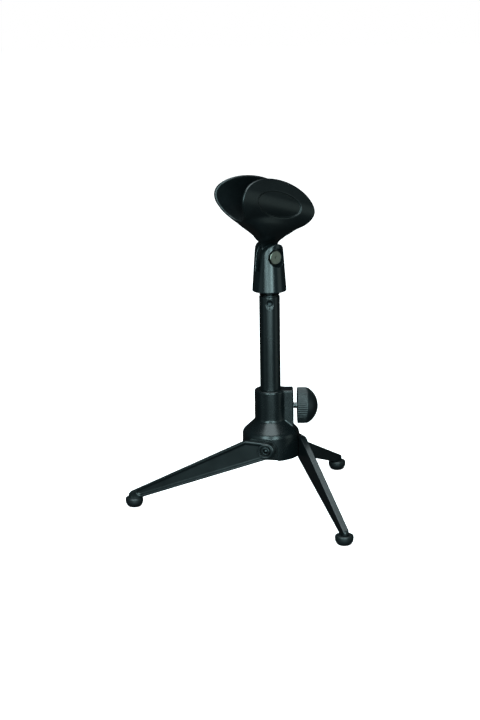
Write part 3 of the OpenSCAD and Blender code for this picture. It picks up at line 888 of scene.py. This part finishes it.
def build_pieces(finish):
    stand, clip = stand_frame(), clip_frame()
    r = DRUM_R + 0.3
    piece("hub_casting", hub_field, (-r, -r, DRUM_BOTTOM), (r, r, COLLAR_TOP), 0.45, stand,
          "base", ["hub"], finish["hub_plastic"])
    r = TUBE_R
    piece("height_tube", tube_field, (-r, -r, TUBE_BOTTOM), (r, r, TUBE_TOP), 0.45, stand,
          "column", ["tube"], finish["tube_paint"])
    low, high = bottom_mm("thread_stud"), top_mm("thread_stud")
    piece("stud_thread", stud_field, (-r, -r, low), (r, r, high), 0.16, stand,
          "column", ["thread_stud"], finish["black_steel"])
    r = KNOB_R
    low, high = KNOB_BACK, KNOB_BACK + KNOB_LENGTH
    piece("knob_grip", knob_field, (low, -r, CLAMP_Z - r), (high, r, CLAMP_Z + r), 0.27, stand,
          "knob", ["clamp_knob"], finish["knob_plastic"])
    low, high = ((corner.x - AXIS.x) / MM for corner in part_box("clamp_screw"))
    r = CLAMP_SCREW_R + 0.12
    piece("clamp_thread", clamp_screw_field, (low, -r, CLAMP_Z - r), (high, r, CLAMP_Z + r), 0.13,
          stand, "knob", ["clamp_screw"], finish["zinc_steel"])
    for side in SIDES:
        build_leg(side, finish)
    r = BASE_R
    piece("swivel_base", clip_base_field, (-r, -r, BASE_BOTTOM), (r, r, BASE_TOP), 0.35, clip,
          "head", ["clip_base"], finish["clip_base_plastic"])
    piece("tilt_bolt", clip_bolt_field, (-5.6, -8.8, BOLT_Z - 5.6), (5.6, 9.7, BOLT_Z + 5.6),
          0.2, clip, "head", ["clip_bolt"], finish["bolt_face"])
    piece("tilt_nut", clip_nut_field, (-4.8, 5.2, BOLT_Z - 4.8), (4.8, 8.7, BOLT_Z + 4.8),
          0.2, clip, "head", ["clip_nut"], finish["nickel_steel"])
    piece("jaw_shell", mic_clip_field, (-40, -19, BOLT_Z - 9.2), (36, 19, BOLT_Z + 66), 0.5, clip,
          "clip", ["mic_clip"], finish["clip_rubber"])


def build_leg(side, finish):
    place = leg_frame(side)
    top = PIVOT_Z + 7.7
    piece("blade_" + side, leg_field, (-7, LEG_INNER, 2.8), (LEG_END, LEG_OUTER + 0.8, top), 0.42,
          place, side + "_leg", ["leg_" + side], finish["leg_plastic"])
    piece("pad_foot_" + side, foot_field, (FOOT_REACH - FOOT_R, LEG_OFFSET - FOOT_R, 0),
          (FOOT_REACH + FOOT_R, LEG_OFFSET + FOOT_R, FOOT_H), 0.33, place,
          side + "_leg", ["foot_" + side], finish["foot_rubber"])


def build_leg_screws(finish):
    """The three shoulder screws are one CAD node, and together they stand for it."""
    for side in SIDES:
        obj = mesh_field("shoulder_screw_" + side, leg_screw_field, (-4, 12, PIVOT_Z - 4),
                         (4, 24.6, PIVOT_Z + 4), 0.16, leg_frame(side))
        obj.data.materials.append(finish["black_steel"])
        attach(obj, "base")
        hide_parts("leg_screws")


def finish_cad_nodes(finish):
    """Hidden hardware keeps its CAD shape and gets a real material."""
    slots = {
        "leg_inserts": "brass_insert",
        "clamp_insert": "brass_insert",
        "clip_insert": "brass_insert",
        "leg_washers": "plug_plastic",
        "tube_end_plug": "plug_plastic",
        "clamp_pad": "pad_nylon",
    }
    for node, name in slots.items():
        mesh = frame["nodes"][node].data
        mesh.materials.clear()
        mesh.materials.append(finish[name])


# ---------------------------------------------------------------- stage, light and camera

AIM = AXIS + Vector((-23.5, 0, 119)) * MM
CAMERA_DISTANCE = 1.53
CAMERA_PITCH = math.radians(14.2)
CAMERA_ROLL = math.radians(-0.85)
CAMERA_LENS = 98.15


def look_from(distance, azimuth, elevation, target):
    """Matrix at a place round target whose -Z points at it; azimuth 0 is on the -Y side."""
    level = math.cos(elevation)
    away = Vector((math.sin(azimuth) * level, -math.cos(azimuth) * level, math.sin(elevation)))
    rotation = away.to_track_quat("Z", "Y").to_matrix().to_4x4()
    return Matrix.Translation(target + away * distance) @ rotation


def build_camera():
    camera = bpy.data.objects.new("camera", bpy.data.cameras.new("camera"))
    bpy.context.scene.collection.objects.link(camera)
    camera.data.lens = CAMERA_LENS
    camera.data.clip_end = 50
    camera.matrix_world = look_from(CAMERA_DISTANCE, 0, CAMERA_PITCH, AIM) @ Matrix.Rotation(
        CAMERA_ROLL, 4, "Z")
    bpy.context.scene.camera = camera
    bpy.context.view_layer.update()
    return camera


def softbox(name, distance, azimuth, elevation, size, radiance, tint, camera=None):
    """Soft rectangular lamp aimed at the object. With a camera given, it moves with the camera."""
    lamp = bpy.data.lights.new(name, "AREA")
    lamp.shape = "RECTANGLE"
    lamp.size, lamp.size_y = size
    lamp.energy = radiance * math.pi * size[0] * size[1]
    lamp.color = tint
    obj = bpy.data.objects.new(name, lamp)
    bpy.context.scene.collection.objects.link(obj)
    obj.matrix_world = look_from(distance, math.radians(azimuth), math.radians(elevation), AIM)
    obj.visible_camera = False
    if camera:
        bpy.context.view_layer.update()
        place = obj.matrix_world.copy()
        obj.parent = camera
        obj.matrix_parent_inverse = camera.matrix_world.inverted()
        obj.matrix_world = place


def build_world():
    """White behind the object, almost no light of its own."""
    world = bpy.data.worlds.new("studio")
    bpy.context.scene.world = world
    world.use_nodes = True
    world.node_tree.nodes.clear()
    add = node_adder(world.node_tree)
    seen = add("ShaderNodeLightPath").outputs["Is Camera Ray"]
    strength = add("ShaderNodeMapRange", {"Value": seen, "To Min": 0.02, "To Max": 1.0})
    background = add("ShaderNodeBackground", {
        "Color": (1, 1, 1, 1), "Strength": strength.outputs["Result"],
    })
    add("ShaderNodeOutputWorld", {"Surface": background.outputs[0]})


def build_floor():
    """Pale floor that meets the white backdrop and neither lights the object nor blocks a lamp."""
    mesh = bpy.data.meshes.new("floor")
    reach = 4.0
    corners = [(-reach, -reach, 0), (reach, -reach, 0), (reach, reach, 0), (-reach, reach, 0)]
    mesh.from_pydata(corners, [], [(0, 1, 2, 3)])
    floor = bpy.data.objects.new("floor", mesh)
    bpy.context.scene.collection.objects.link(floor)
    material, shader, place, add, links = new_material("floor_paper")
    links.new(mix_colour(add, noise(add, place, 4), (0.86, 0.86, 0.86, 1), (0.9, 0.9, 0.9, 1)),
              shader.inputs["Base Color"])
    shader.inputs["Roughness"].default_value = 0.9
    shader.inputs["Specular IOR Level"].default_value = 0.0
    shader.inputs["Emission Color"].default_value = (1, 1, 1, 1)
    shader.inputs["Emission Strength"].default_value = 0.97
    mesh.materials.append(material)
    floor.visible_glossy = floor.visible_diffuse = floor.visible_shadow = False


COOL = (0.66, 0.97, 1.0)
# Lamps that move with the camera: azimuth and elevation, size, radiance, tint
CAMERA_LAMPS = {
    "left_box": (-23, 22, (0.56, 1.3), 8.0, COOL),
    "right_box": (19, 20, (0.5, 1.3), 7.0, COOL),
    "low_strip": (4, -4, (1.1, 0.2), 9.0, COOL),
    "left_fill": (-62, 5, (0.8, 1.2), 0.3, COOL),
    "right_fill": (75, 2, (0.8, 1.0), 0.6, (0.74, 0.98, 0.94)),
}
LAMP_DISTANCE = 1.5


def build_stage():
    camera = build_camera()
    build_world()
    build_floor()
    for name, settings in CAMERA_LAMPS.items():
        softbox(name, LAMP_DISTANCE, *settings, camera)
    softbox("top_box", 1.3, 0, 90, (0.9, 1.5), 4.4, (0.8, 0.97, 1.0))
    bpy.context.scene.view_settings.view_transform = "Standard"


FINISH = make_materials()
build_pieces(FINISH)
build_leg_screws(FINISH)
finish_cad_nodes(FINISH)
build_stage()

bpy.context.view_layer.update()
